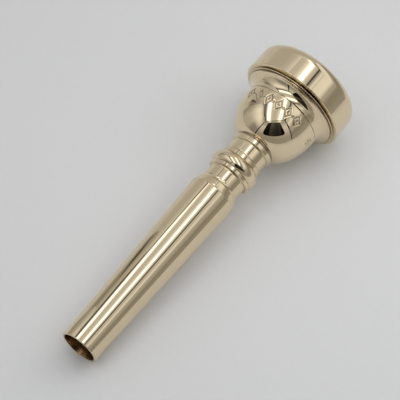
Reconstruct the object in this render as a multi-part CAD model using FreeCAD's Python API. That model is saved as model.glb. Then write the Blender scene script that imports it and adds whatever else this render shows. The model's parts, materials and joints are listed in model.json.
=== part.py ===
import FreeCAD, Part
import math
import os

V = FreeCAD.Vector
AXIS = V(0, 0, 1)

# Every outline is drawn beside the bore axis as (r, z): r is the radius and z the
# height above the shank end.  The last step lays the finished pieces down.

# overall sizes, mm
LENGTH = 88.55
RIM_R = 13.5
CROWN_R = 10.3
BITE_R = 8.25
SHANK_END_R = 4.83
SHANK_TOP_R = 5.99
SHANK_TOP_Z = 48.9
BACKBORE_R = 4.3
THROAT_R = 1.83
NECK_R = 4.87

# heights of the joints and shoulders, mm
FOOT_Z = 65.2
BACKBORE_TOP_Z = 60.0
SPIGOT_TOP_Z = 70.8
SOCKET_TOP_Z = 70.9
THROAT_TOP_Z = 71.6
BOWL_TOP_Z = 76.2
COVE_TOP_Z = 79.1
SHOULDER_Z = 80.0
BAND_LOW_Z = 80.3
BAND_TOP_Z = 85.75
NOSE_TOP_Z = 84.8
SEAT_GAP = 0.02

# screw threads, mm: both joints use the same pitch and 60 degree ridges
PITCH = 1.0
FLANK = math.tan(math.radians(30))
RIM_THREAD_R = 10.3
RIM_THREAD_Z = 81.6
RIM_THREAD_TURNS = 2.7
FOOT_THREAD_R = 3.95
FOOT_THREAD_Z = 66.9
FOOT_THREAD_TURNS = 3.4
THREAD_DEPTH = 0.53
THREAD_CLEAR = 0.12
CREST_W = 0.15
BURY = 0.08

# sealing rings, mm: radius of the ring's middle, its height and its cord radius
RIM_SEAL = (9.86, 80.55, 0.4)
FOOT_SEAL = (3.74, 65.85, 0.35)


def pt(r, z):
    return V(r, 0, z)


def path(start, steps):
    """Edges from start through steps: (r, z) is a line, (r, z, r, z) an arc by way of a point."""
    edges = []
    at = start
    for step in steps:
        end = step[-2:]
        if len(step) == 2:
            edges.append(Part.LineSegment(pt(*at), pt(*end)).toShape())
        else:
            edges.append(Part.Arc(pt(*at), pt(*step[:2]), pt(*end)).toShape())
        at = end
    return edges


def ellipse_edge(r0, z0, half_r, half_z, deg_a, deg_b):
    """Part of an ellipse around (r0, z0), with angles measured from +r towards +z."""
    middle = pt(r0, z0)
    on_r = pt(r0 + half_r, z0)
    on_z = pt(r0, z0 + half_z)
    if half_r >= half_z:
        whole = Part.Ellipse(on_r, on_z, middle)
        span = (deg_a, deg_b)
    else:
        whole = Part.Ellipse(on_z, on_r, middle)
        span = (90 - deg_b, 90 - deg_a)
    return Part.ArcOfEllipse(whole, math.radians(span[0]), math.radians(span[1])).toShape()


def turned(edges):
    wire = Part.Wire(Part.__sortEdges__(edges))
    return Part.Face(wire).revolve(V(0, 0, 0), AXIS, 360)


def ridge(root_r, crest_r, z_low, turns, crest_w):
    """A helical thread ridge; it is buried a little in the wall at its root."""
    out = 1 if crest_r > root_r else -1
    deep = root_r - out * BURY
    root_w = crest_w + 2 * FLANK * abs(crest_r - deep)
    corners = [pt(deep, z_low - root_w / 2), pt(crest_r, z_low - crest_w / 2),
               pt(crest_r, z_low + crest_w / 2), pt(deep, z_low + root_w / 2)]
    profile = Part.makePolygon(corners + corners[:1])
    helix = Part.makeHelix(PITCH, turns * PITCH, root_r)
    helix.translate(V(0, 0, z_low))
    return Part.Wire(helix.Edges).makePipeShell([profile], True, True)


def inner_crest_w():
    """Crest width of an inward ridge that leaves 0.1 mm between flanks."""
    overlap = THREAD_DEPTH - THREAD_CLEAR
    return PITCH - 0.2 - CREST_W - 2 * FLANK * overlap


def make_shank():
    """Venturi tube: taper for the receiver, turned neck, ball bead and screwed spigot."""
    core = FOOT_THREAD_R - THREAD_DEPTH
    seal_r, seal_z, cord = FOOT_SEAL
    groove_r = seal_r - cord - 0.03
    edges = path((BACKBORE_R, 0.0), [
        (SHANK_END_R - 0.12, 0.0),
        (SHANK_END_R - 0.03, 0.04, SHANK_END_R, 0.14),
        (SHANK_TOP_R, SHANK_TOP_Z),
        (SHANK_TOP_R - 0.02, SHANK_TOP_Z + 0.14, SHANK_TOP_R - 0.14, SHANK_TOP_Z + 0.22),
        (5.80, 49.32),
        (5.78, 49.45),
        (5.33, 50.95),
        (5.13, 51.1),
        (4.93, 51.35, NECK_R, 52.0),
        (NECK_R, 54.65),
        (4.93, 54.92, 5.08, 55.08),
        (5.42, 55.12),
        (5.53, 55.2),
        (5.56, 55.95),
        (5.42, 56.06),
        (6.18, 57.6, 5.25, 59.2),
        (5.13, 59.28),
        (5.17, 60.35),
        (5.05, 60.45),
        (4.93, 60.55, NECK_R, 60.85),
        (NECK_R, 63.5),
        (4.96, 63.68, 5.12, 63.76),
        (5.28, 63.82, 5.34, 64.0),
        (5.36, 64.95),
        (5.22, FOOT_Z - SEAT_GAP),
        (core, FOOT_Z - SEAT_GAP),
        (core, seal_z - cord - 0.03),
        (groove_r, seal_z - cord - 0.03),
        (groove_r, seal_z + cord + 0.03),
        (core, seal_z + cord + 0.03),
        (core, SPIGOT_TOP_Z - 0.3),
        (core - 0.3, SPIGOT_TOP_Z),
        (THROAT_R, SPIGOT_TOP_Z),
        (THROAT_R, BACKBORE_TOP_Z),
        (3.35, 28.0, BACKBORE_R, 0.0),
    ])
    body = turned(edges)
    thread = ridge(core, FOOT_THREAD_R, FOOT_THREAD_Z, FOOT_THREAD_TURNS, CREST_W)
    return body.fuse(thread)


def make_cup():
    """Bowl with the cup inside it, a threaded socket in its foot and a threaded nose on top."""
    core = RIM_THREAD_R - THREAD_DEPTH
    socket = FOOT_THREAD_R + THREAD_CLEAR
    seal_r, seal_z, cord = RIM_SEAL
    foot_seal_r, foot_seal_z, foot_cord = FOOT_SEAL
    groove_r = seal_r - cord - 0.03
    counter_r = foot_seal_r + foot_cord + 0.04
    counter_z = foot_seal_z + foot_cord + 0.3
    bowl = ellipse_edge(3.2, 75.5, 6.85, 10.4, -73.0, 3.0)
    bowl_foot, bowl_top = sorted((v.Point for v in bowl.Vertexes), key=lambda p: p.z)
    edges = [bowl]
    edges += path((bowl_top.x, bowl_top.z), [
        (9.92, BOWL_TOP_Z + 0.02),
        (10.02, BOWL_TOP_Z + 0.22),
        (10.62, 78.15, 12.05, COVE_TOP_Z),
        (12.12, COVE_TOP_Z + 0.12),
        (11.94, COVE_TOP_Z + 0.22),
        (12.02, COVE_TOP_Z + 0.4),
        (12.5, COVE_TOP_Z + 0.45),
        (12.66, COVE_TOP_Z + 0.55, 12.62, SHOULDER_Z - 0.28),
        (12.25, SHOULDER_Z),
        (groove_r, SHOULDER_Z),
        (groove_r, seal_z + cord + 0.03),
        (core, seal_z + cord + 0.03),
        (core, NOSE_TOP_Z - 0.25),
        (core - 0.25, NOSE_TOP_Z),
        (7.98, NOSE_TOP_Z),
        (7.3, 80.2, 4.35, 76.9),
        (2.35, 74.6, THROAT_R, THROAT_TOP_Z),
        (THROAT_R, SOCKET_TOP_Z),
        (socket, SOCKET_TOP_Z),
        (socket, counter_z),
        (counter_r, counter_z),
        (counter_r, FOOT_Z),
        (5.2, FOOT_Z),
        (bowl_foot.x, bowl_foot.z),
    ])
    body = turned(edges)
    nose_thread = ridge(core, RIM_THREAD_R, RIM_THREAD_Z, RIM_THREAD_TURNS, CREST_W)
    crest = socket - THREAD_DEPTH
    low = FOOT_THREAD_Z + PITCH / 2
    socket_thread = ridge(socket, crest, low, FOOT_THREAD_TURNS - 0.5, inner_crest_w())
    return body.fuse(nose_thread).fuse(socket_thread)


def make_rim():
    """Ring with the rounded crown and a threaded bore that takes the cup's nose."""
    bore = RIM_THREAD_R + THREAD_CLEAR
    seal_r, seal_z, cord = RIM_SEAL
    counter_r = seal_r + cord + 0.04
    counter_z = seal_z + cord + 0.3
    low = SHOULDER_Z + SEAT_GAP
    ledge = NOSE_TOP_Z + SEAT_GAP
    crown = ellipse_edge(CROWN_R, BAND_TOP_Z, RIM_R - CROWN_R, LENGTH - BAND_TOP_Z, 0.0, 90.0)
    bite_z = 86.5
    bite = ellipse_edge(CROWN_R, bite_z, CROWN_R - BITE_R, LENGTH - bite_z, 90.0, 180.0)
    edges = path((BITE_R, bite_z), [
        (8.0, ledge),
        (bore, ledge),
        (bore, counter_z),
        (counter_r, counter_z),
        (counter_r, low),
        (12.3, low),
        (13.3, BAND_LOW_Z - 0.06),
        (13.435, BAND_LOW_Z, RIM_R, BAND_LOW_Z + 0.16),
        (RIM_R, BAND_TOP_Z),
    ])
    body = turned(edges + [crown, bite])
    crest = bore - THREAD_DEPTH
    start = RIM_THREAD_Z + PITCH / 2
    thread = ridge(bore, crest, start, RIM_THREAD_TURNS - 0.3, inner_crest_w())
    return body.fuse(thread)


def make_seal(size):
    """Round-cord sealing ring in its groove."""
    ring_r, ring_z, cord = size
    return Part.makeTorus(ring_r, cord, V(0, 0, ring_z), AXIS)


def lay_down(shape):
    """Lies the piece on z = 0, touching with the shank end and the rim band's lower edge."""
    rise = math.atan2(RIM_R - SHANK_END_R, BAND_LOW_Z)
    low_x = -SHANK_END_R * math.sin(rise)
    far = math.hypot((LENGTH - BAND_TOP_Z) * math.cos(rise), (RIM_R - CROWN_R) * math.sin(rise))
    high_x = BAND_TOP_Z * math.cos(rise) + CROWN_R * math.sin(rise) + far
    laid = shape.copy()
    laid.rotate(V(0, 0, 0), V(0, 1, 0), 90 - math.degrees(rise))
    laid.translate(V(-(low_x + high_x) / 2, 0, SHANK_END_R * math.cos(rise)))
    return laid


def main():
    os.makedirs("parts", exist_ok=True)
    pieces = {
        "shank": make_shank(),
        "shank_seal": make_seal(FOOT_SEAL),
        "cup": make_cup(),
        "rim_seal": make_seal(RIM_SEAL),
        "rim": make_rim(),
    }
    for name, shape in pieces.items():
        lay_down(shape).exportStep("parts/%s.step" % name)
        box = lay_down(shape).optimalBoundingBox()
        print(name, shape.isValid(), len(shape.Solids), round(shape.Volume, 2),
              [round(v, 4) for v in (box.XMin, box.XMax, box.YMin, box.YMax, box.ZMin, box.ZMax)])


main()
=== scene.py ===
import json
import math

import bpy
import numpy as np
from mathutils import Matrix, Vector


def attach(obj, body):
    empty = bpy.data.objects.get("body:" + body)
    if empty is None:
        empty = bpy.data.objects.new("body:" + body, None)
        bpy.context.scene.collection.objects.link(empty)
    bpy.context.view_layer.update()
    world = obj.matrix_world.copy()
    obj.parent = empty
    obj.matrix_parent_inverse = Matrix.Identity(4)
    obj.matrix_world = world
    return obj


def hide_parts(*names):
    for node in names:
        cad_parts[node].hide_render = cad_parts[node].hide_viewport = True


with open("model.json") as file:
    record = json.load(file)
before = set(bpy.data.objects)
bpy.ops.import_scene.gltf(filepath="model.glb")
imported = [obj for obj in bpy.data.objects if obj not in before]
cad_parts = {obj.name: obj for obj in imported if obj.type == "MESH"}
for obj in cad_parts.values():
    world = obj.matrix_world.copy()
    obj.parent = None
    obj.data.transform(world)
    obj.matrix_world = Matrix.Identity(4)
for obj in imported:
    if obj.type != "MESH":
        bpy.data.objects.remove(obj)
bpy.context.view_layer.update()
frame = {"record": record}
MM = 0.001

# The bore axis comes from the record's mounts: it starts at the shank end and runs to the rim.
MOUNTS = {mount["name"]: mount for mount in frame["record"]["mounts"]}
SHANK_END = Vector(MOUNTS["receiver_taper"]["pos_m"])
AXIS = -Vector(MOUNTS["receiver_taper"]["axis"]).normalized()

# Sizes in mm, as in the design: radius from the bore axis and height above the shank end.
LENGTH = 88.55
RIM_R = 13.5
CROWN_R = 10.3
BITE_R = 8.25
SHANK_END_R = 4.83
SHANK_TOP_R = 5.99
SHANK_TOP_Z = 48.9
BACKBORE_R = 4.3
THROAT_R = 1.83
NECK_R = 4.87
FOOT_Z = 65.2
SPIGOT_TOP_Z = 70.8
SOCKET_TOP_Z = 70.9
THROAT_TOP_Z = 71.6
BOWL_TOP_Z = 76.2
COVE_TOP_Z = 79.1
SHOULDER_Z = 80.0
BAND_LOW_Z = 80.3
BAND_TOP_Z = 85.75
NOSE_TOP_Z = 84.8
SEAT_GAP = 0.02
BACKBORE_TOP_Z = 60.0

PITCH = 1.0
FLANK = math.tan(math.radians(30))
RIM_THREAD_R = 10.3
RIM_THREAD_Z = 81.6
RIM_THREAD_TURNS = 2.7
FOOT_THREAD_R = 3.95
FOOT_THREAD_Z = 66.9
FOOT_THREAD_TURNS = 3.4
THREAD_DEPTH = 0.53
THREAD_CLEAR = 0.12
CREST_W = 0.15
INNER_CREST_W = PITCH - 0.2 - CREST_W - 2 * FLANK * (THREAD_DEPTH - THREAD_CLEAR)
RIM_SEAL = (9.86, 80.55, 0.4)
FOOT_SEAL = (3.74, 65.85, 0.35)

# Where two pieces meet on the outside, as (r, z), and how far painted shade reaches from there, into
# grooves and into corners, in mm.
JOINTS = ((12.27, SHOULDER_Z), (5.2, FOOT_Z))
JOINT_REACH = 0.5
GROOVE_REACH = 0.6
CORNER_REACH = 0.18

# Depths in mm for the painted shade: the widest step a groove may have and the depth that darkens it
# fully; the hollow at which a corner starts to darken and how much deeper it is when fully dark.
GROOVE_STEP = 0.8
GROOVE_DARK = 0.3
CORNER_START = 0.02
CORNER_DARK = 0.06

# The visual rim's counterbore is this much wider than the design's, so that the crest of the
# nose thread slides through it without touching.
COUNTERBORE_EXTRA = 0.03

# Meshing: steps along the outline in mm, steps round the axis in degrees. The bowl is meshed
# finely over the band that carries the ornament. SHARP_BEND is the least bend, in radians, that
# gets a round of CORNER_ROUND mm.
OUTLINE_STEP = 1.2
THREAD_STEP = 0.09
BAND_STEP = 0.07
BAND_HALF_Z = 1.75
FINE_DEG = 0.4
COARSE_DEG = 1.8
SHANK_COLUMNS = 180
RIM_COLUMNS = 240
SEAL_COLUMNS = 120
SEAL_ROWS = 48
SHARP_BEND = 0.12
CORNER_ROUND = 0.03

# A thread starts and ends over this share of a turn.
THREAD_FADE = 0.06

# The mould's flash line on a sealing ring: its height in mm and its width in radians.
FLASH_HEIGHT = 0.012
FLASH_WIDTH = 0.12

# The bare metal of the backbore starts this far in from the shank end, in mm. The limit between
# bore and outside runs between the two walls: its distance outside the bore's mouth and how much
# it narrows per mm.
BORE_START_Z = 0.15
BORE_MARGIN = 0.24
BORE_NARROWING = 0.025

# The ornament is a chain of lozenges and dots pressed into the bowl, in mm and degrees.
# Angles run round the bore axis; 180 is the top of the mouthpiece as it lies.
ORNAMENT_Z = 73.75
ORNAMENT_R = 9.95
ORNAMENT_HALF_Z = 1.35
LOZENGE_HALF = 0.95
ORNAMENT_LOZENGES = 6
ORNAMENT_STEP = 2.95
ORNAMENT_MIDDLE = 180.0
ROSETTE_ANGLE = 266.0
ROSETTE_SPAN = 7.0
ROSETTE_DOTS = 6
ROSETTE_R = 0.85
SMALL_DOT_R = 0.12
DOT_R = 0.15
STROKE_W = 0.17
STROKE_DEPTH = 0.13
BOWL_SLOPE = 1.02


# ---------------------------------------------------------------- outlines

def line(a, b, step=OUTLINE_STEP):
    """Points from a to b, with some close to each end so that shading stays crisp at edges."""
    length = math.dist(a, b)
    cuts = [k / math.ceil(length / step) for k in range(math.ceil(length / step) + 1)]
    for guard in (0.03, 0.2):
        if length > 4 * guard:
            cuts += [guard / length, 1 - guard / length]
    return [(a[0] + (b[0] - a[0]) * t, a[1] + (b[1] - a[1]) * t) for t in sorted(set(cuts))]


def arc(a, m, b, most_deg=4.0):
    """Points on the circle from a through m to b."""
    d = 2 * (a[0] * (m[1] - b[1]) + m[0] * (b[1] - a[1]) + b[0] * (a[1] - m[1]))
    sq = [p[0] ** 2 + p[1] ** 2 for p in (a, m, b)]
    cx = (sq[0] * (m[1] - b[1]) + sq[1] * (b[1] - a[1]) + sq[2] * (a[1] - m[1])) / d
    cy = (sq[0] * (b[0] - m[0]) + sq[1] * (a[0] - b[0]) + sq[2] * (m[0] - a[0])) / d
    angles = [math.atan2(p[1] - cy, p[0] - cx) for p in (a, m, b)]
    to_m = (angles[1] - angles[0]) % math.tau
    to_b = (angles[2] - angles[0]) % math.tau
    sweep = to_b if to_m < to_b else to_b - math.tau
    radius = math.dist(a, (cx, cy))
    count = max(8, math.ceil(abs(math.degrees(sweep)) / most_deg))
    turn = [angles[0] + sweep * k / count for k in range(count + 1)]
    return [(cx + radius * math.cos(t), cy + radius * math.sin(t)) for t in turn]


def ellipse(r0, z0, half_r, half_z, deg_a, deg_b, count):
    """Points on part of an ellipse round (r0, z0), with angles from +r towards +z."""
    turn = [math.radians(deg_a + (deg_b - deg_a) * k / count) for k in range(count + 1)]
    return [(r0 + half_r * math.cos(t), z0 + half_z * math.sin(t)) for t in turn]


def trim(points, cut):
    """The polyline without its first cut millimetres."""
    for k in range(len(points) - 1):
        step = math.dist(points[k], points[k + 1])
        if step > cut:
            t = cut / step
            a, b = points[k], points[k + 1]
            return [(a[0] + (b[0] - a[0]) * t, a[1] + (b[1] - a[1]) * t)] + points[k + 1:]
        cut -= step
    return points[-1:]


def length_of(points):
    """Length of the polyline."""
    return sum(math.dist(a, b) for a, b in zip(points, points[1:]))


def heading(a, b):
    """Direction from a to b, in radians."""
    return math.atan2(b[1] - a[1], b[0] - a[0])


def rounded(segments, radius):
    """Closed outline of tagged segments; every corner between two of them gets a small round."""
    count = len(segments)
    cuts = []
    for k in range(count):
        before, after = segments[k - 1][0], segments[k][0]
        bend = abs(heading(*before[-2:]) - heading(*after[:2])) % math.tau
        bend = min(bend, math.tau - bend)
        room = 0.4 * min(length_of(before), length_of(after))
        cuts.append(min(radius * math.tan(bend / 2), room) if bend > SHARP_BEND else 0.0)
    rows = []
    for k in range(count):
        points, tag = segments[k]
        corner = points[0]
        if cuts[k]:
            left = trim(segments[k - 1][0][::-1], cuts[k])[0]
            right = trim(points, cuts[k])[0]
            for t in (1 / 6, 2 / 6, 3 / 6, 4 / 6, 5 / 6):
                w = ((1 - t) ** 2, 2 * t * (1 - t), t * t)
                rows.append((w[0] * left[0] + w[1] * corner[0] + w[2] * right[0],
                             w[0] * left[1] + w[1] * corner[1] + w[2] * right[1], tag))
        body = trim(points, cuts[k]) if cuts[k] else points
        after_cut = cuts[(k + 1) % count]
        body = trim(body[::-1], after_cut)[::-1] if after_cut else body[:-1]
        rows += [(r, z, tag) for r, z in body]
    return rows


def outline(start, steps):
    """Rows (r, z, tag) of a closed outline. A step is (r, z), (r, z, r, z) or a list of points;
    a string tags the rows that follow it, and a thread's tag also samples them closely."""
    segments = []
    at = start
    tag = ""
    for step in steps + [start]:
        if step is start and math.dist(at, start) < 1e-6:
            continue
        if isinstance(step, str):
            tag = step
            continue
        if isinstance(step, list):
            points = step
        elif len(step) == 2:
            points = line(at, step, THREAD_STEP if tag in ("thread", "socket") else OUTLINE_STEP)
        else:
            points = arc(at, step[:2], step[2:])
        segments.append((points, tag))
        at = points[-1]
    return rounded(segments, CORNER_ROUND)


def refine(points, low, high, step):
    """The polyline with extra points, step apart, between the heights low and high."""
    out = [points[0]]
    for a, b in zip(points, points[1:]):
        middle = (a[1] + b[1]) / 2
        if low < middle < high:
            extra = math.ceil(math.dist(a, b) / step)
            out += [(a[0] + (b[0] - a[0]) * k / extra, a[1] + (b[1] - a[1]) * k / extra)
                    for k in range(1, extra)]
        out.append(b)
    return out


# ---------------------------------------------------------------- surface relief

def thread(z, turn, z_low, turns, root_r, crest_r, crest_w):
    """Radius of a helical ridge at height z and turn (0 to 1) round the axis."""
    lap = np.round((z - z_low) / PITCH - turn)
    along = lap + turn
    off = np.abs(z - z_low - PITCH * along)
    depth = abs(crest_r - root_r)
    rise = np.clip((crest_w / 2 + FLANK * depth - off) / FLANK, 0, depth)
    fade = np.clip(along / THREAD_FADE, 0, 1) * np.clip((turns - along) / THREAD_FADE, 0, 1)
    return root_r + math.copysign(1, crest_r - root_r) * rise * fade


def groove(distance):
    """Depth of a pressed stroke at this distance from its middle line."""
    return STROKE_DEPTH * np.exp(-(distance / STROKE_W) ** 2)


def ornament(r, z, angle):
    """How far the bowl's surface is pressed in by the chain and the rosette."""
    depth = np.zeros_like(angle)
    up = (z - ORNAMENT_Z) * BOWL_SLOPE
    middle = (ORNAMENT_LOZENGES - 1) / 2
    slant = math.hypot(1 / LOZENGE_HALF, 1 / ORNAMENT_HALF_Z)
    for k in range(ORNAMENT_LOZENGES):
        along = np.radians(angle - ORNAMENT_MIDDLE) * r - (k - middle) * ORNAMENT_STEP
        edge = (np.abs(along) / LOZENGE_HALF + abs(up) / ORNAMENT_HALF_Z - 1) / slant
        depth = np.maximum(depth, groove(np.abs(edge)))
        depth = np.maximum(depth, groove(np.maximum(np.hypot(along, up) - SMALL_DOT_R, 0)))
        if k:
            dot = np.hypot(along + ORNAMENT_STEP / 2, up)
            depth = np.maximum(depth, groove(np.maximum(dot - DOT_R, 0)))
    for petal in range(ROSETTE_DOTS + 1):
        reach = ROSETTE_R if petal else 0.0
        turn = math.tau * petal / ROSETTE_DOTS
        along = np.radians(angle - ROSETTE_ANGLE) * r - reach * math.cos(turn)
        away = np.hypot(along, up - reach * math.sin(turn))
        depth = np.maximum(depth, groove(np.maximum(away - SMALL_DOT_R, 0)))
    return depth


# ---------------------------------------------------------------- turned pieces

def lathe_turn():
    """Turn whose z is the bore axis, with -x pointing up as the mouthpiece lies."""
    x = Vector((AXIS.z, 0, -AXIS.x))
    y = AXIS.cross(x)
    return Matrix((x, y, AXIS)).transposed()


LATHE = lathe_turn()


def even_angles(count):
    """Angles in degrees for that many even columns round the axis."""
    return np.arange(count) * 360.0 / count


def in_groove(radius, height):
    """How far the surface close above and close below stands higher than each row, in mm."""
    rise = height[None, :] - height[:, None]
    same = np.abs(radius[:, None] - radius[None, :]) < GROOVE_STEP
    above = np.where(same & (rise >= 0) & (rise < GROOVE_REACH), radius[None, :], 0).max(axis=1)
    below = np.where(same & (rise <= 0) & (rise > -GROOVE_REACH), radius[None, :], 0).max(axis=1)
    return np.minimum(above, below) - radius


def in_corner(radius, height):
    """How far each row lies behind the chord between its neighbours on both sides, in mm."""
    step = np.hypot(np.roll(radius, -1) - radius, np.roll(height, -1) - height)
    place = np.concatenate([[0], np.cumsum(step)[:-1]])
    sides = (-CORNER_REACH, CORNER_REACH)
    r0, r1 = (np.interp(place + side, place, radius, period=step.sum()) for side in sides)
    z0, z1 = (np.interp(place + side, place, height, period=step.sum()) for side in sides)
    return ((r1 - r0) * (height - z0) - (z1 - z0) * (radius - r0)) / np.hypot(r1 - r0, z1 - z0)


def recess(rows):
    """0 to 1 per row, the painted shade: how deep it lies in a groove, in the corner at a step's foot
    or in a joint.
    """
    radius = np.array([row[0] for row in rows])
    height = np.array([row[1] for row in rows])
    deep = in_groove(radius, height) / GROOVE_DARK
    tucked = (in_corner(radius, height) - CORNER_START) / CORNER_DARK
    away = np.min([np.hypot(radius - r, height - z) for r, z in JOINTS], axis=0)
    beside = 1.5 - 1.5 * away / JOINT_REACH
    return np.clip(np.max([deep, tucked, beside], axis=0), 0, 1)


def turned_piece(name, rows, angles, relief=None):
    """A closed mesh of rows by angles, with a recess attribute for painted shade in the grooves,
    corners, joints and ornament strokes.
    """
    columns = len(angles)
    turn = np.radians(angles)
    low = recess(rows)
    points = np.empty((len(rows), columns, 3))
    recess_shade = np.empty((len(rows), columns))
    for k, (r, z, tag) in enumerate(rows):
        radius = np.full(columns, r)
        recess_shade[k] = low[k]
        if relief and tag in relief:
            radius = relief[tag](r, z, angles)
            # The pressed strokes of the ornament get painted shade by their depth.
            recess_shade[k] = np.maximum(recess_shade[k], np.clip((r - radius) / STROKE_DEPTH, 0, 1) * (tag == "fine"))
        points[k] = np.stack([radius * np.cos(turn), radius * np.sin(turn), np.full(columns, z)], 1)
    a = np.arange(len(rows))[:, None] * columns + np.arange(columns)[None, :]
    b = np.roll(a, -1, axis=1)
    c = np.roll(b, -1, axis=0)
    d = np.roll(a, -1, axis=0)
    faces = np.stack([a, b, c, d], axis=2).reshape(-1, 4)
    spots = points.reshape(-1, 3) * MM @ np.array(LATHE).T + np.array(SHANK_END)
    mesh = bpy.data.meshes.new(name)
    mesh.from_pydata(spots.tolist(), [], faces.tolist())
    mesh.polygons.foreach_set("use_smooth", [True] * len(mesh.polygons))
    # The recess attribute carries the painted shade of grooves, corners, joints and strokes.
    mark = mesh.attributes.new("recess", "FLOAT", "POINT")
    mark.data.foreach_set("value", recess_shade.reshape(-1))
    mesh.validate()
    mesh.update()
    piece = bpy.data.objects.new(name, mesh)
    bpy.context.scene.collection.objects.link(piece)
    return piece


def paint(piece, materials, choose):
    """Puts the materials on the piece; choose gives a slot number for a face's (r, z) in mm."""
    for material in materials:
        piece.data.materials.append(material)
    for face in piece.data.polygons:
        centre = LATHE.transposed() @ (face.center - SHANK_END) / MM
        face.material_index = choose(math.hypot(centre.x, centre.y), centre.z)


def bore_face(r, z):
    """Slot of a shank face: 1 in the backbore, which narrows towards the throat, else 0."""
    limit = BACKBORE_R + BORE_MARGIN - BORE_NARROWING * z
    return int(BORE_START_Z < z < SPIGOT_TOP_Z and r < limit)


def throat_face(r, _z):
    """Slot of a cup face: 1 in the throat, else 0."""
    return int(r < THROAT_R + 0.03)


def only_face(_r, _z):
    """The one slot of a piece that has a single material."""
    return 0


def make_shank():
    """Tube with the taper, the turned neck with its ball bead, and the threaded spigot."""
    core = FOOT_THREAD_R - THREAD_DEPTH
    seal_r, seal_z, cord = FOOT_SEAL
    groove_r = seal_r - cord - 0.03
    rows = outline((BACKBORE_R, 0.0), [
        (SHANK_END_R - 0.12, 0.0),
        (SHANK_END_R - 0.03, 0.04, SHANK_END_R, 0.14),
        (SHANK_TOP_R, SHANK_TOP_Z),
        (SHANK_TOP_R - 0.02, SHANK_TOP_Z + 0.14, SHANK_TOP_R - 0.14, SHANK_TOP_Z + 0.22),
        (5.80, 49.32),
        (5.78, 49.45),
        (5.33, 50.95),
        (5.13, 51.1),
        (4.93, 51.35, NECK_R, 52.0),
        (NECK_R, 54.65),
        (4.93, 54.92, 5.08, 55.08),
        (5.42, 55.12),
        (5.53, 55.2),
        (5.56, 55.95),
        (5.42, 56.06),
        (6.18, 57.6, 5.25, 59.2),
        (5.13, 59.28),
        (5.17, 60.35),
        (5.05, 60.45),
        (4.93, 60.55, NECK_R, 60.85),
        (NECK_R, 63.5),
        (4.96, 63.68, 5.12, 63.76),
        (5.28, 63.82, 5.34, 64.0),
        (5.36, 64.95),
        (5.22, FOOT_Z - SEAT_GAP),
        (core, FOOT_Z - SEAT_GAP),
        (core, seal_z - cord - 0.03),
        (groove_r, seal_z - cord - 0.03),
        (groove_r, seal_z + cord + 0.03),
        (core, seal_z + cord + 0.03),
        "thread",
        (core, SPIGOT_TOP_Z - 0.3),
        "",
        (core - 0.3, SPIGOT_TOP_Z),
        (THROAT_R, SPIGOT_TOP_Z),
        (THROAT_R, BACKBORE_TOP_Z),
        arc((THROAT_R, BACKBORE_TOP_Z), (3.35, 28.0), (BACKBORE_R, 0.0), 1.0),
    ])[:-1]
    spiral = {"thread": lambda r, z, angle: thread(
        z, angle / 360, FOOT_THREAD_Z, FOOT_THREAD_TURNS, core, FOOT_THREAD_R, CREST_W)}
    return turned_piece("turned_shank", rows, even_angles(SHANK_COLUMNS), spiral)


def make_cup():
    """Bowl with the cup in it, the pressed ornament, the threaded nose and the threaded socket."""
    core = RIM_THREAD_R - THREAD_DEPTH
    socket = FOOT_THREAD_R + THREAD_CLEAR
    seal_r, seal_z, cord = RIM_SEAL
    foot_seal_r, foot_seal_z, foot_cord = FOOT_SEAL
    groove_r = seal_r - cord - 0.03
    counter_r = foot_seal_r + foot_cord + 0.04
    counter_z = foot_seal_z + foot_cord + 0.3
    bowl = ellipse(3.2, 75.5, 6.85, 10.4, -73.0, 3.0, 76)
    low, high = ORNAMENT_Z - BAND_HALF_Z, ORNAMENT_Z + BAND_HALF_Z
    foot = [p for p in bowl if p[1] <= low]
    band = [p for p in bowl if low < p[1] <= high]
    top = [p for p in bowl if p[1] > high]
    band = refine([foot[-1]] + band, low - 1, high, BAND_STEP)
    rows = outline((5.2, FOOT_Z), [
        foot[0],
        foot,
        "fine",
        band,
        "",
        [band[-1]] + top,
        (9.92, BOWL_TOP_Z + 0.02),
        (10.02, BOWL_TOP_Z + 0.22),
        (10.62, 78.15, 12.05, COVE_TOP_Z),
        (12.12, COVE_TOP_Z + 0.12),
        (11.94, COVE_TOP_Z + 0.22),
        (12.02, COVE_TOP_Z + 0.4),
        (12.5, COVE_TOP_Z + 0.45),
        (12.66, COVE_TOP_Z + 0.55, 12.62, SHOULDER_Z - 0.28),
        (12.25, SHOULDER_Z),
        (groove_r, SHOULDER_Z),
        (groove_r, seal_z + cord + 0.03),
        (core, seal_z + cord + 0.03),
        "thread",
        (core, NOSE_TOP_Z - 0.25),
        "",
        (core - 0.25, NOSE_TOP_Z),
        (7.98, NOSE_TOP_Z),
        (7.3, 80.2, 4.35, 76.9),
        (2.35, 74.6, THROAT_R, THROAT_TOP_Z),
        (THROAT_R, SOCKET_TOP_Z),
        (socket, SOCKET_TOP_Z),
        "socket",
        (socket, counter_z),
        "",
        (counter_r, counter_z),
        (counter_r, FOOT_Z),
    ])
    start = FOOT_THREAD_Z + PITCH / 2
    relief = {
        "fine": lambda r, z, angle: r - ornament(r, z, angle),
        "thread": lambda r, z, angle: thread(
            z, angle / 360, RIM_THREAD_Z, RIM_THREAD_TURNS, core, RIM_THREAD_R, CREST_W),
        "socket": lambda r, z, angle: thread(
            z, angle / 360, start, FOOT_THREAD_TURNS - 0.5, socket,
            socket - THREAD_DEPTH, INNER_CREST_W)}
    chain = math.degrees(ORNAMENT_STEP * (ORNAMENT_LOZENGES + 0.5) / 2 / ORNAMENT_R)
    fine = np.arange(ORNAMENT_MIDDLE - chain, ROSETTE_ANGLE + ROSETTE_SPAN, FINE_DEG)
    coarse = np.arange(fine[-1] + COARSE_DEG, fine[0] + 360 - COARSE_DEG / 2, COARSE_DEG)
    return turned_piece("turned_cup", rows, np.concatenate([fine, coarse]), relief)


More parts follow.
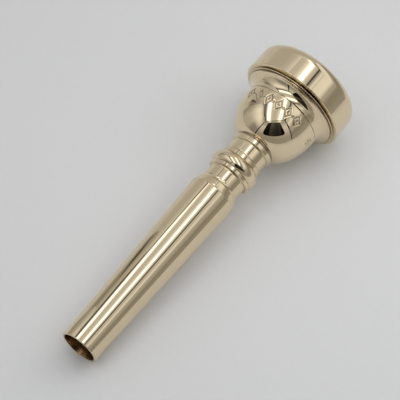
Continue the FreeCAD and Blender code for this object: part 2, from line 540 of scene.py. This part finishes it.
def make_rim():
    """Ring with the rounded crown, the plain band and the threaded bore."""
    bore = RIM_THREAD_R + THREAD_CLEAR
    seal_r, seal_z, cord = RIM_SEAL
    counter_r = seal_r + cord + 0.04 + COUNTERBORE_EXTRA
    counter_z = seal_z + cord + 0.3
    low = SHOULDER_Z + SEAT_GAP
    ledge = NOSE_TOP_Z + SEAT_GAP
    bite_z = 86.5
    crown = ellipse(CROWN_R, BAND_TOP_Z, RIM_R - CROWN_R, LENGTH - BAND_TOP_Z, 0, 90, 48)
    bite = ellipse(CROWN_R, bite_z, CROWN_R - BITE_R, LENGTH - bite_z, 90, 180, 40)
    rows = outline((BITE_R, bite_z), [
        (8.0, ledge),
        (bore, ledge),
        "socket",
        (bore, counter_z),
        "",
        (counter_r, counter_z),
        (counter_r, low),
        (12.3, low),
        (13.3, BAND_LOW_Z - 0.06),
        (13.435, BAND_LOW_Z, RIM_R, BAND_LOW_Z + 0.16),
        (RIM_R, BAND_TOP_Z),
        crown,
        bite,
    ])
    start = RIM_THREAD_Z + PITCH / 2
    spiral = {"socket": lambda r, z, angle: thread(
        z, angle / 360, start, RIM_THREAD_TURNS - 0.3, bore, bore - THREAD_DEPTH, INNER_CREST_W)}
    return turned_piece("turned_rim", rows, even_angles(RIM_COLUMNS), spiral)


def make_seal(name, size):
    """Moulded round-cord ring with the fine flash line that the mould leaves."""
    ring_r, ring_z, cord = size
    rows = []
    for k in range(SEAL_ROWS):
        t = math.tau * k / SEAL_ROWS
        flash = FLASH_HEIGHT * math.exp(-(math.sin(t) / FLASH_WIDTH) ** 2)
        rows.append((ring_r + (cord + flash) * math.cos(t), ring_z + (cord + flash) * math.sin(t), ""))
    return turned_piece(name, rows, even_angles(SEAL_COLUMNS))


# ---------------------------------------------------------------- materials

class Nodes:
    """A material's node tree, with one short call per node."""

    def __init__(self, name):
        self.material = bpy.data.materials.new(name)
        self.material.use_nodes = True
        self.tree = self.material.node_tree
        self.shader = self.tree.nodes["Principled BSDF"]

    def add(self, kind, inputs=None, **settings):
        node = self.tree.nodes.new(kind)
        for key, value in settings.items():
            setattr(node, key, value)
        for key, value in (inputs or {}).items():
            if isinstance(value, bpy.types.NodeSocket):
                self.tree.links.new(value, node.inputs[key])
            else:
                node.inputs[key].default_value = value
        return node

    def set(self, **values):
        for key, value in values.items():
            socket = self.shader.inputs[key.replace("_", " ").title().replace("Ior", "IOR")]
            if isinstance(value, bpy.types.NodeSocket):
                self.tree.links.new(value, socket)
            else:
                socket.default_value = value

    def place(self, scale):
        """Coordinates of the lathe stretched by scale: z runs along the bore axis."""
        coords = self.add("ShaderNodeTexCoord").outputs["Object"]
        return self.add("ShaderNodeMapping", {
            "Vector": coords, "Location": SHANK_END, "Rotation": LATHE.to_euler(),
            "Scale": [1 / part for part in scale]}, vector_type="TEXTURE").outputs["Vector"]

    def noise(self, scale, detail=2.0, rough=0.5):
        node = self.add("ShaderNodeTexNoise", {
            "Vector": self.place(scale), "Scale": 1.0, "Detail": detail, "Roughness": rough})
        return node.outputs["Fac"]

    def ramp(self, fac, *stops):
        """Colour ramp; each stop is (position, grey or colour)."""
        node = self.add("ShaderNodeValToRGB", {"Fac": fac})
        while len(node.color_ramp.elements) < len(stops):
            node.color_ramp.elements.new(0.5)
        for element, (position, colour) in zip(node.color_ramp.elements, stops):
            element.position = position
            colour = (colour,) * 3 if isinstance(colour, float) else colour
            element.color = (*colour, 1)
        return node.outputs["Color"]

    def mix(self, fac, a, b):
        node = self.add("ShaderNodeMix", data_type="RGBA")
        for index, value in ((0, fac), (6, a), (7, b)):
            if isinstance(value, bpy.types.NodeSocket):
                self.tree.links.new(value, node.inputs[index])
            else:
                node.inputs[index].default_value = value if index == 0 else (*value, 1)
        return node.outputs[2]

    def sum(self, a, b):
        return self.add("ShaderNodeMath", {0: a, 1: b}, operation="ADD").outputs[0]


def polished_brass():
    """Pale plated brass, buffed to a mirror, with painted shade in the grooves, corners and joints and
    faint wipe marks.
    """
    n = Nodes("polished_brass")
    recess_shade = n.add("ShaderNodeAttribute", attribute_name="recess").outputs["Fac"]
    cloud = n.noise((260, 260, 180), 3)
    tint = n.mix(n.ramp(cloud, (0.35, 0.0), (0.75, 1.0)), (0.79, 0.666, 0.462), (0.82, 0.682, 0.468))
    # Painted shade: where the recess attribute is high the brass turns dark brown.
    n.set(base_color=n.mix(n.ramp(recess_shade, (0.1, 0.0), (0.9, 0.75)), tint, (0.24, 0.195, 0.14)))
    lines = n.noise((90, 90, 7000), 2)
    wipes = n.noise((900, 2600, 700), 4, 0.65)
    rough = n.sum(n.ramp(wipes, (0.45, 0.012), (0.8, 0.035)), n.ramp(recess_shade, (0.1, 0.0), (0.9, 0.12)))
    n.set(metallic=1.0, roughness=rough)
    hair = n.add("ShaderNodeBump", {"Strength": 0.25, "Distance": 1e-6, "Height": lines})
    n.set(normal=hair.outputs["Normal"])
    return n.material


def bare_brass_and_bore_shade():
    """Bare brass inside the backbore and throat: warmer, duller, with rings from the reamer, and its
    colour darkened as painted shade of the deep bore.
    """
    n = Nodes("bare_brass_and_bore_shade")
    rings = n.noise((60, 60, 9000), 2)
    stain = n.noise((500, 500, 120), 4, 0.6)
    stained = n.ramp(stain, (0.35, 0.0), (0.7, 1.0))
    # Both colours are dark: bare brass with painted shade of the deep bore.
    n.set(base_color=n.mix(stained, (0.30, 0.19, 0.085), (0.13, 0.075, 0.03)))
    n.set(metallic=1.0, roughness=n.ramp(rings, (0.3, 0.14), (0.7, 0.34)))
    bump = n.add("ShaderNodeBump", {"Strength": 0.6, "Distance": 1e-5, "Height": rings})
    n.set(normal=bump.outputs["Normal"])
    return n.material


def seal_rubber():
    """Black rubber with talc dust and a slightly orange-peel skin."""
    n = Nodes("seal_rubber")
    dust = n.noise((2500, 2500, 2500), 5, 0.7)
    n.set(base_color=n.ramp(dust, (0.4, (0.018, 0.018, 0.02)), (0.85, (0.09, 0.088, 0.085))))
    n.set(roughness=n.ramp(dust, (0.3, 0.5), (0.8, 0.8)))
    skin = n.noise((5200, 5200, 5200), 2)
    bump = n.add("ShaderNodeBump", {"Strength": 0.4, "Distance": 2e-5, "Height": skin})
    n.set(normal=bump.outputs["Normal"])
    return n.material


# ---------------------------------------------------------------- studio

# The camera: what it looks at in metres, its direction in degrees, its distance and its lens.
CAMERA_TARGET = (0.00073, 0.0006, 0.012)
CAMERA_AZIMUTH = -51.5
CAMERA_ELEVATION = 56.25
CAMERA_DISTANCE = 0.4808
CAMERA_LENS = 184.5

# The light tent: the corners of its cloth walls in plan, in tent heights, counter-clockwise.
TENT_H = 0.30
TENT_CORNERS = ((-0.664, 0.146), (-0.078, -0.690), (0.973, 0.046), (0.15, 0.71))
TENT_GLOW = 2.4
FRONT_TURN = math.radians(215)
SHADE_GLOW = 0.14
SEAM_GLOW = 0.02
SEAM_W = 0.030

# How far inside its wall each layer hangs, in tent heights, and the height of the ceiling's.
FLAP_INSET = 0.004
SHADE_INSET = 0.006
SEAM_INSET = 0.008
OPENING_INSET = 0.01
CEILING_LAYER = 0.995
PLAIN = [(0.0, 1.0)]

FLOOR_SIZE = 8.0
ROOM_GREY = (0.61, 0.61, 0.615, 1)

# Fill lights as (place, size, power).
TOP_FILL = ((-0.04, 0.03, 0.29), 0.3, 0.10)
HEAD_FILL = ((0.08, -0.07, 0.12), 0.08, 0.027)
TAIL_FILL = ((-0.06, -0.09, 0.15), 0.08, 0.026)


def glow(name, layers):
    """Glowing cloth. A layer is two lists of (place, brightness), along and up; their product
    is its brightness, and the layers add up."""
    material = bpy.data.materials.new(name)
    material.use_nodes = True
    tree = material.node_tree
    tree.nodes.remove(tree.nodes["Principled BSDF"])
    lamp = tree.nodes.new("ShaderNodeEmission")
    lamp.inputs["Strength"].default_value = TENT_GLOW
    place = tree.nodes.new("ShaderNodeUVMap")
    split = tree.nodes.new("ShaderNodeSeparateXYZ")
    tree.links.new(place.outputs["UV"], split.inputs[0])
    total = None
    for along, up in layers:
        across = cloth_ramp(tree, split.outputs[0], along, False)
        height = cloth_ramp(tree, split.outputs[1], up, True)
        shade = blend(tree, "MULTIPLY", across, height)
        total = shade if total is None else blend(tree, "ADD", total, shade)
    tree.links.new(total, lamp.inputs["Color"])
    tree.links.new(lamp.outputs["Emission"], tree.nodes["Material Output"].inputs["Surface"])
    return material


def cloth_colour(share):
    """White where the cloth is bright, warmer where it is dim."""
    cool = min(1.0, share / 0.6)
    return (share, share * (0.94 + 0.06 * cool), share * (0.80 + 0.20 * cool))


def cloth_ramp(tree, place, stops, tinted):
    """Brightness ramp over place; a tinted one also carries the cloth's colour."""
    node = tree.nodes.new("ShaderNodeValToRGB")
    tree.links.new(place, node.inputs["Fac"])
    elements = node.color_ramp.elements
    elements.remove(elements[1])
    while len(elements) < len(stops):
        elements.new(1.0)
    for element, (position, share) in zip(elements, stops):
        element.position = position
        colour = cloth_colour(share) if tinted else (share, share, share)
        element.color = (*(part / TENT_GLOW if tinted else part for part in colour), 1)
    return node.outputs["Color"]


def blend(tree, kind, a, b):
    """Colour a and b multiplied or added, as kind says."""
    node = tree.nodes.new("ShaderNodeMix")
    node.data_type = "RGBA"
    node.blend_type = kind
    node.inputs[0].default_value = 1.0
    tree.links.new(a, node.inputs[6])
    tree.links.new(b, node.inputs[7])
    return node.outputs[2]


def panel(name, corners, material, spots=((0, 0), (1, 0), (1, 1), (0, 1)), seen=False):
    """A flat studio panel with its uv spots."""
    mesh = bpy.data.meshes.new(name)
    mesh.from_pydata(corners, [], [tuple(range(len(corners)))])
    layer = mesh.uv_layers.new()
    for loop, uv in zip(layer.data, spots):
        loop.uv = uv
    mesh.materials.append(material)
    piece = bpy.data.objects.new(name, mesh)
    bpy.context.scene.collection.objects.link(piece)
    piece.visible_camera = seen


def on_wall(wall, along, height, inset=0.0):
    """Point on a wall: along runs 0 to 1 between its corners, height and inset in tent heights."""
    a = Vector(TENT_CORNERS[wall])
    b = Vector(TENT_CORNERS[(wall + 1) % 4])
    inwards = Vector((a.y - b.y, b.x - a.x)).normalized()
    spot = a.lerp(b, along) + inwards * inset
    return (spot.x * TENT_H, spot.y * TENT_H, height * TENT_H)


def wall_patch(name, wall, material, spots, inset=0.0):
    """Panel on a wall with its corners at spots, each (along, height)."""
    along = [spot[0] for spot in spots]
    height = [spot[1] for spot in spots]
    low, wide = min(along), max(along) - min(along)
    foot, tall = min(height), max(height) - min(height)
    uv = [((a - low) / wide, (h - foot) / tall) for a, h in spots]
    panel(name, [on_wall(wall, a, h, inset) for a, h in spots], material, uv)


def box(a, low, b, high):
    """Corners of an upright rectangle."""
    return ((a, low), (b, low), (b, high), (a, high))


def strip(start, end, width):
    """Corners of a narrow upright or leaning strip from start to end."""
    half = width / 2
    return ((start[0] - half, start[1]), (start[0] + half, start[1]),
            (end[0] + half, end[1]), (end[0] - half, end[1]))


def soft_corners(spots, share):
    """The outline with each corner cut by share of its sides, and a point on the round between."""
    out = []
    for k in range(len(spots)):
        p, before, after = Vector(spots[k]), Vector(spots[k - 1]), Vector(spots[(k + 1) % len(spots)])
        a = p.lerp(before, share)
        b = p.lerp(after, share)
        out += [a, p.lerp((a + b) / 2, 0.55), b]
    return [tuple(point) for point in out]


def front_cloth():
    """Dim below and brightest half-way up, with a fold of light under the ceiling."""
    return glow("front_cloth", [
        ([(0.0, 1.0), (0.5, 0.95), (1.0, 1.1)], [
            (0.0, 0.33), (0.15, 0.32), (0.27, 0.43), (0.39, 0.56), (0.50, 0.63), (0.60, 0.60),
            (0.72, 0.44), (0.82, 0.40), (0.955, 0.36), (0.965, 0.14)]),
        ([(0.22, 0.0), (0.26, 1.0), (0.33, 1.0), (0.38, 0.1), (0.62, 0.1), (0.67, 0.7), (0.77, 1.0),
          (0.82, 0.0)], [(0.80, 0.0), (0.85, 0.5), (0.90, 1.0), (0.95, 0.8), (0.965, 0.2)])])


def right_cloth():
    """Two stretches of cloth, near and far, that fade into each other."""
    return glow("right_cloth", [
        ([(0.0, 0.95), (0.24, 1.0), (0.34, 0.0)], [
            (0.0, 0.33), (0.09, 0.32), (0.15, 0.27), (0.21, 0.29), (0.27, 0.40), (0.37, 0.45),
            (0.42, 0.50), (0.47, 0.58), (0.51, 0.86), (0.61, 0.84), (0.67, 0.65), (0.76, 0.55),
            (0.82, 0.68), (0.87, 0.52), (0.91, 0.20), (1.0, 0.07)]),
        ([(0.24, 0.0), (0.34, 1.0)], [
            (0.0, 0.36), (0.15, 0.29), (0.22, 0.29), (0.27, 0.42), (0.33, 0.48), (0.37, 0.76),
            (0.42, 0.92), (0.62, 0.90), (0.69, 0.72), (0.75, 0.92), (0.81, 0.78), (0.87, 0.46),
            (0.95, 0.32), (0.965, 0.08)])])


def back_cloth():
    """An even wall, a little brighter at its top."""
    return glow("back_cloth", [
        (PLAIN, [(0.0, 0.60), (0.2, 0.48), (0.5, 0.48), (0.75, 0.58), (0.95, 0.78)])])


def left_cloth():
    """The brightest wall, with something darker standing behind the lower part of its cloth."""
    return glow("left_cloth", [
        ([(0.0, 0.6), (0.2, 0.7), (0.35, 1.0), (0.57, 0.95), (0.66, 0.62), (0.76, 0.50), (0.87, 0.60)],
         [(0.0, 0.46), (0.2, 0.50), (0.30, 0.58), (0.46, 0.0)]),
        ([(0.0, 0.6), (0.2, 0.7), (0.35, 1.0), (0.65, 1.0), (0.95, 0.7)],
         [(0.30, 0.0), (0.46, 0.83), (0.57, 0.96), (0.68, 1.0), (0.80, 0.80), (0.88, 0.52),
          (1.0, 0.5)])])


def make_walls():
    """Cloth walls. Wall 0 is in front, then right, back and left."""
    for wall, cloth in enumerate((front_cloth(), right_cloth(), back_cloth(), left_cloth())):
        wall_patch("tent_wall_%d" % wall, wall, cloth, box(0.0, 0.0, 1.0, 1.0))


def make_folds(shade):
    """Shaded folds and flaps at the ends of the walls."""
    corner = glow("corner_cloth", [(PLAIN, [
        (0.0, 0.58), (0.10, 0.48), (0.2, 0.27), (0.3, 0.26), (0.4, 0.33), (0.5, 0.41), (0.6, 0.49),
        (0.7, 0.54), (0.85, 0.50), (0.94, 0.38), (0.96, 0.16)])])
    flap = glow("flap", [(PLAIN, [(0.0, 0.33), (0.5, 0.40), (1.0, 0.50)])])
    fold = glow("fold", [(PLAIN, [(0.0, 0.10)])])
    places = (
        ("tent_corner", 3, corner, box(0.0, 0.0, 0.17, 1.0), FLAP_INSET),
        ("corner_fold", 3, fold, ((0.0, 0.19), (0.06, 0.19), (0.12, 0.38), (0.05, 0.36)), SHADE_INSET),
        ("corner_shade", 3, shade,
         ((0.0, 0.96), (0.09, 0.80), (0.2, 0.80), (0.2, 1.0), (0.0, 1.0)), SHADE_INSET),
        ("back_top", 2, shade, box(0.84, 0.955, 1.0, 1.0), SHADE_INSET),
        ("left_flap", 3, flap, ((0.895, 0.0), (1.0, 0.0), (1.0, 0.86), (0.946, 0.454)), FLAP_INSET),
        ("right_flap", 1, flap, ((0.0, 0.0), (0.050, 0.0), (0.034, 0.41), (0.0, 0.71)), FLAP_INSET))
    for place in places:
        wall_patch(*place)


def make_seams(seam, shade):
    """Dark seams where the cloth meets."""
    places = (
        ("left_seam_low", 3, seam, strip((0.885, 0.0), (0.943, 0.454), 1.5 * SEAM_W), SEAM_INSET),
        ("left_seam_high", 3, seam, strip((0.943, 0.454), (0.985, 0.86), 1.5 * SEAM_W), SEAM_INSET),
        ("right_seam_low", 1, seam, strip((0.050, 0.0), (0.034, 0.41), 0.8 * SEAM_W), SEAM_INSET),
        ("right_seam_high", 1, seam, strip((0.034, 0.41), (0.004, 0.71), 1.4 * SEAM_W), SEAM_INSET),
        ("front_seam", 0, seam, strip((0.99, 0.70), (0.965, 1.0), 1.6 * SEAM_W), SEAM_INSET),
        ("top_seam", 3, seam, ((0.17, 0.865), (0.75, 0.950), (0.75, 0.998), (0.17, 0.910)), SEAM_INSET),
        ("front_line", 0, shade, box(0.02, 0.945, 0.97, 0.985), SHADE_INSET))
    for place in places:
        wall_patch(*place)


def make_opening():
    """The dark opening in the front wall, with a dim room behind it."""
    dark = glow("opening", [(
        [(0.0, 0.1), (0.28, 0.15), (0.36, 1.0), (0.45, 0.8), (0.52, 0.6), (0.66, 0.4), (0.79, 0.6),
         (0.88, 0.1)],
        [(0.0, 0.04), (0.4, 0.06), (0.7, 0.10)])])
    frame_of_opening = ((0.195, 0.19), (0.86, 0.25), (0.735, 0.80), (0.26, 0.84))
    wall_patch("tent_opening", 0, dark, soft_corners(frame_of_opening, 0.12), OPENING_INSET)


def make_ceiling(seam, shade):
    """Ceiling cloth with two rows of lamps. Its uv spots run ahead of the camera and across."""
    turn = Vector((-math.sin(FRONT_TURN), math.cos(FRONT_TURN)))
    ahead = Vector((math.cos(FRONT_TURN), math.sin(FRONT_TURN)))
    spots = [(Vector(c).dot(ahead) / 2 + 0.5, Vector(c).dot(turn) / 2 + 0.5) for c in TENT_CORNERS]
    lamps = [
        (0.235, 0.06), (0.27, 0.08), (0.285, 0.42), (0.30, 0.58), (0.44, 0.58), (0.52, 0.60),
        (0.555, 0.78), (0.58, 0.98), (0.60, 1.5), (0.612, 2.4), (0.648, 2.4), (0.664, 1.4),
        (0.681, 0.85), (0.70, 0.66), (0.735, 0.55), (0.748, 0.12), (0.757, 0.04)]
    back_lamps = [
        (0.30, 0.0), (0.32, 0.5), (0.335, 1.8), (0.38, 1.8), (0.40, 0.7), (0.416, 0.25), (0.45, 0.0)]
    ceiling = glow("ceiling_cloth", [(PLAIN, lamps), ([(0.24, 0.0), (0.31, 1.0)], back_lamps)])
    panel("tent_ceiling", [on_wall(k, 0, 1.0) for k in range(4)], ceiling, spots)
    places = (("ceiling_shade", shade, box(0.15, 0.20, 0.25, 0.40)),
              ("ceiling_seam", seam, ((0.50, 0.755), (0.74, 0.730), (0.74, 0.750), (0.50, 0.775))))
    for name, material, outline_spots in places:
        corners = [(2 * a - 1) * ahead + (2 * t - 1) * turn for a, t in outline_spots]
        panel(name, [(c.x * TENT_H, c.y * TENT_H, CEILING_LAYER * TENT_H) for c in corners], material)


def make_tent():
    """The whole light tent: walls, folds, seams, opening and ceiling."""
    seam = glow("seam", [(PLAIN, [(0.0, SEAM_GLOW)])])
    shade = glow("shade", [(PLAIN, [(0.0, SHADE_GLOW)])])
    make_walls()
    make_folds(shade)
    make_seams(seam, shade)
    make_opening()
    make_ceiling(seam, shade)


def make_fill(name, place, size, power):
    """Broad soft light for the floor; the polished metal mirrors only the tent."""
    data = bpy.data.lights.new(name, "AREA")
    data.shape = "SQUARE"
    data.size = size
    data.energy = power
    data.color = (0.96, 0.98, 1.0)
    fill = bpy.data.objects.new(name, data)
    bpy.context.scene.collection.objects.link(fill)
    fill.location = place
    fill.rotation_mode = "QUATERNION"
    fill.rotation_quaternion = Vector(place).to_track_quat("Z", "Y")
    fill.visible_glossy = False
    fill.visible_camera = False


def make_floor():
    """Plain pale paper, far wider than the main view."""
    n = Nodes("floor_paper")
    fibre = n.noise((700, 700, 700), 3)
    paper = n.ramp(fibre, (0.3, (0.775, 0.778, 0.785)), (0.7, (0.785, 0.788, 0.795)))
    n.set(base_color=paper, roughness=0.9)
    half = FLOOR_SIZE / 2
    corners = [(-half, -half, 0), (half, -half, 0), (half, half, 0), (-half, half, 0)]
    panel("floor", corners, n.material, seen=True)


def make_world():
    """Even pale grey all round, beyond the floor."""
    world = bpy.data.worlds.new("room")
    world.use_nodes = True
    backdrop = world.node_tree.nodes["Background"]
    backdrop.inputs["Color"].default_value = ROOM_GREY
    backdrop.inputs["Strength"].default_value = 1.0
    bpy.context.scene.world = world


def make_camera(target, azimuth, elevation, distance, lens):
    """Camera on a sphere round the target; azimuth 0 looks along +Y."""
    a, e = math.radians(azimuth), math.radians(elevation)
    back = Vector((math.sin(a) * math.cos(e), -math.cos(a) * math.cos(e), math.sin(e)))
    data = bpy.data.cameras.new("camera")
    data.lens = lens
    data.sensor_width = 36
    data.clip_start = 0.01
    data.clip_end = 50
    camera = bpy.data.objects.new("camera", data)
    bpy.context.scene.collection.objects.link(camera)
    camera.location = Vector(target) + back * distance
    camera.rotation_mode = "QUATERNION"
    camera.rotation_quaternion = (-back).to_track_quat("-Z", "Y")
    bpy.context.scene.camera = camera


# ---------------------------------------------------------------- assembly

def main():
    brass = polished_brass()
    bore = bare_brass_and_bore_shade()
    rubber = seal_rubber()
    shank = make_shank()
    cup = make_cup()
    rim = make_rim()
    shank_seal = make_seal("moulded_shank_seal", FOOT_SEAL)
    rim_seal = make_seal("moulded_rim_seal", RIM_SEAL)
    paint(shank, (brass, bore), bore_face)
    paint(cup, (brass, bore), throat_face)
    paint(rim, (brass,), only_face)
    paint(shank_seal, (rubber,), only_face)
    paint(rim_seal, (rubber,), only_face)
    places = ((shank, "shank", "shank_body", "polished_brass"),
              (cup, "cup", "cup_body", "polished_brass"),
              (rim, "rim", "rim_body", "polished_brass"),
              (shank_seal, "shank_seal", "foot_ring", "seal_rubber"),
              (rim_seal, "rim_seal", "top_ring", "seal_rubber"))
    for piece, node, body, finish in places:
        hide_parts(node)
        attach(piece, body)
    make_tent()
    make_fill("top_fill", *TOP_FILL)
    make_fill("head_fill", *HEAD_FILL)
    make_fill("tail_fill", *TAIL_FILL)
    make_floor()
    make_world()
    make_camera(CAMERA_TARGET, CAMERA_AZIMUTH, CAMERA_ELEVATION, CAMERA_DISTANCE, CAMERA_LENS)
    bpy.context.scene.view_settings.view_transform = "Standard"


main()
